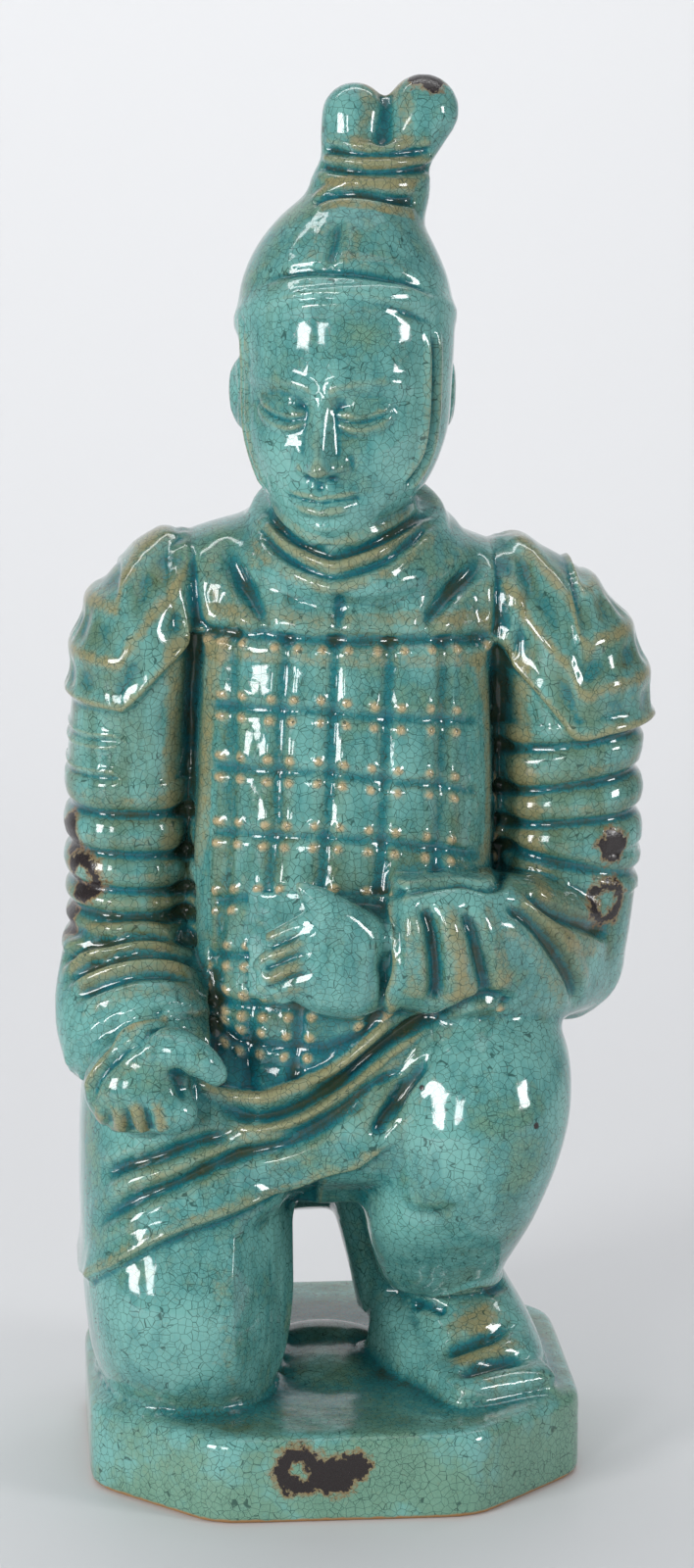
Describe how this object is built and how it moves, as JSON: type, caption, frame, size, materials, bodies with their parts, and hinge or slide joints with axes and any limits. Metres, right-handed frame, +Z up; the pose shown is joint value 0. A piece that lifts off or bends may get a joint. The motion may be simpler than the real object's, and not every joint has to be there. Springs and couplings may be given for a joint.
{
  "type": "warrior figurine",
  "caption": "Glazed porcelain warrior kneeling on one knee on an eight-sided plinth, in a plated vest with shoulder guards and tied-up hair.",
  "frame": {"origin": "middle of the plinth's underside", "axes": "+Z up through the figure, -Y towards the viewer that the figure faces, +X towards the figure's left hand"},
  "size_m": [0.1646, 0.1366, 0.3797],
  "materials": {
    "celadon_glaze": "glossy pale blue-green glaze with dark crackle, pooling darker in the hollows and breaking tan on the edges"
  },
  "bodies": {
    "root": {"warrior_figurine": "celadon_glaze"}
  },
  "joints": []
}
